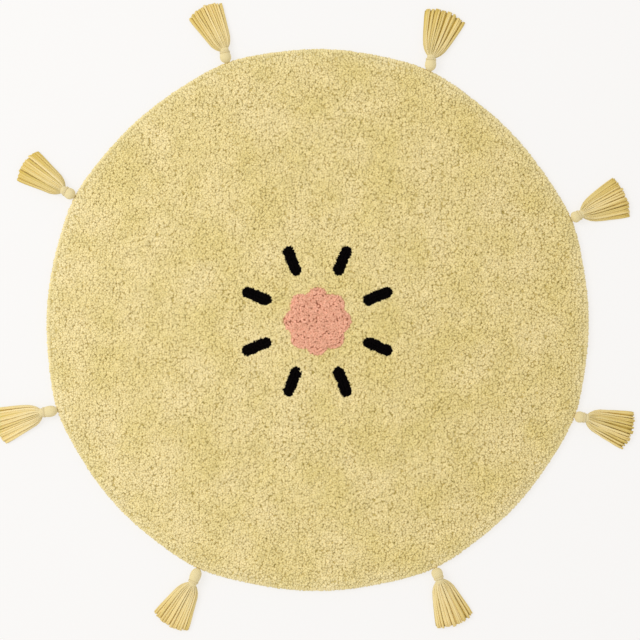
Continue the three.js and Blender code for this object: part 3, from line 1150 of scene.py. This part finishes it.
def headForm(row, number):
    # Radius r(s) along the bulb and neck, less ribHeight (1 - |cos(ribs a / 2)|) between its ribs
    middle = head["radius"]
    neckAlong, neckRadius = np.array(head["neck"]).T
    bulb = (row["headLength"] - head["neckLength"]) * np.array(head["along"])
    along = np.concatenate([bulb - row["headLength"], neckAlong])
    radius = np.concatenate([head["radius"] * np.array(head["reach"]), neckRadius])
    s = np.interp(np.linspace(0, 1, head["steps"]), np.linspace(0, 1, len(along)), along)
    profile = np.interp(s, along, radius)
    profile = np.convolve(np.pad(profile, 1, mode="edge"), head["smoothing"], mode="valid")
    turn = 2 * np.pi * np.arange(head["sides"]) / head["sides"]
    sway = np.random.default_rng(130 + number).uniform(-0.5, 0.5, 3)
    twisted = turn + head["ribTwist"] * s[:, None]
    ribs = np.abs(np.cos(head["ribs"] * twisted / 2 + sway[0])) ** head["ribPower"]
    twice, thrice = head["squash"]
    squash = 1 + twice * np.cos(2 * turn + sway[1]) + thrice * np.cos(3 * turn + 9 * sway[2])
    circle = polar((profile[:, None] - head["ribHeight"] * (1 - ribs)) * squash, turn)
    rings = np.dstack([np.repeat(s[:, None], head["sides"], axis=1), circle + (0, middle)])
    before, after = head["ends"]
    made = closedForm([s[0] - before, 0, middle], rings, [s[-1] + after, 0, middle])
    # Painted shade: the tone of the ribs' crests, less a darker shade in each groove between them
    tone = head["crestTone"] - head["grooveShade"] * (1 - ribs.ravel())
    made["marks"] = {
        "rise": np.zeros(len(made["points"])),
        "tone": np.concatenate([[0], tone, [0]]),
    }
    yarnMap(made, 4, 10)
    return stripLayout(made, head["sides"], head["steps"], (0, 0.8, 1, 0.14), 1)


def stemForm(row):
    # Two plies of yarn wound round each other, from inside the rim to inside the head
    start = -row["headLength"] - stem["letIn"]
    end = -row["headLength"] + stem["embedded"]
    s = np.linspace(start, end, stem["stations"])
    turn = 2 * np.pi * s / stem["lay"]
    ply = stem["radius"] * stem["plyPlace"]
    lines = np.stack([
        np.column_stack([s, polar(way * ply, turn) + (0, stem["height"])]) for way in (1, -1)
    ])
    reach = np.full(lines.shape[:2], stem["radius"] * stem["plyReach"])
    sideways = np.array([0, -1.0, 0])
    made = tubeForm(lines, reach, sideways, stem["sides"], 0 * reach, np.array(stem["tone"]))
    return stripLayout(made, stem["sides"], stem["stations"], (0, 0.95, 1, 0.045), 1)


def bindingForm():
    # A cord wound round the neck: x steps on by its own width each turn, y and z circle the axis
    steps = binding["turns"] * binding["stepsPerTurn"]
    t = np.linspace(0, 1, steps)
    turn = 2 * np.pi * binding["turns"] * t - 0.5 * np.pi
    inner = binding["width"] - 2 * binding["cord"]
    x = -binding["start"] - binding["width"] + binding["cord"] + inner * t
    loose = np.minimum(1, np.minimum(t, 1 - t) / binding["tuckSpan"])
    ring = binding["coilRadius"] - binding["tuckDepth"] * (1 - loose)
    lines = np.column_stack([x, polar(ring, turn) + (0, head["radius"])])[None]
    reach = np.full((1, steps), binding["cord"])
    made = tubeForm(lines, reach, np.array([1.0, 0, 0]), binding["sides"], 0 * reach, np.zeros(1))
    return stripLayout(made, binding["sides"], steps, (0, 0, 1, 1), 1)


def turnedAt(form, row, degrees):
    # Turns a form about the tassel's neck, which lies a head's length beyond the rim
    at = math.radians(row["at"])
    length = row["headLength"] + head["rimGap"]
    neck = polar(rimRadius(at), at) + polar(length, math.radians(row["head"]))
    x, y, z = form["points"].T
    x, y = turned(x, y, math.radians(degrees))
    form["points"] = np.column_stack([neck[0] + x, neck[1] + y, z])
    return form


tasselParts = []
for number, row in enumerate(tassels, start=1):
    form = joined([
        turnedAt(skirtForm(row, number), row, row["skirt"]),
        turnedAt(bedForm(row, number), row, row["skirt"]),
        turnedAt(headForm(row, number), row, row["head"]),
        turnedAt(stemForm(row), row, row["head"]),
    ])
    wound = turnedAt(bindingForm(), row, row["head"])
    tasselParts += [
        meshPiece(f"tassel_yarn_{number}", form, tasselYarn, [f"tassel_{number}"]),
        meshPiece(f"tassel_binding_{number}", wound, bindingYarn,
                  [f"tassel_tie_{number}"]),
    ]
print("tassels tied on")


# Studio: a pale floor that glows a little, as on a light table, and soft light from the upper left

studio = {
    "floorSide": 14.0,
    "floorColour": (0.24, 0.237, 0.234),
    "glowColour": (1, 0.985, 0.97),
    "floorGlow": 0.70,
    "skyColour": (1, 0.99, 0.98),
    "sky": 0.80,
    "keyPlace": (-3.4, 1.3, 4.2),
    "keySide": 3.0,
    "keyPower": 108,
}


def studioFloor():
    half = studio["floorSide"] / 2
    mesh = bpy.data.meshes.new("studio_floor")
    corners = [(-half, -half, 0), (half, -half, 0), (half, half, 0), (-half, half, 0)]
    mesh.from_pydata(corners, [], [(0, 1, 2, 3)])
    mesh.materials.append(finish(newMaterial("studio_floor"), {
        "Base Color": (*studio["floorColour"], 1),
        "Roughness": 0.9,
        "Specular IOR Level": 0.1,
        "Emission Color": (*studio["glowColour"], 1),
        "Emission Strength": studio["floorGlow"],
    }))
    floor = bpy.data.objects.new("studio_floor", mesh)
    bpy.context.scene.collection.objects.link(floor)


def studioLight():
    world = bpy.data.worlds.new("studio")
    world.use_nodes = True
    background = world.node_tree.nodes["Background"]
    background.inputs["Color"].default_value = (*studio["skyColour"], 1)
    background.inputs["Strength"].default_value = studio["sky"]
    bpy.context.scene.world = world
    keyData = bpy.data.lights.new("softbox", "AREA")
    keyData.shape = "SQUARE"
    keyData.size = studio["keySide"]
    keyData.energy = studio["keyPower"]
    key = bpy.data.objects.new("softbox", keyData)
    key.location = studio["keyPlace"]
    away = -key.location
    key.rotation_euler = away.to_track_quat("-Z", "Y").to_euler()
    bpy.context.scene.collection.objects.link(key)


studioFloor()
studioLight()
bpy.context.scene.view_settings.view_transform = "Standard"
print("studio lit")
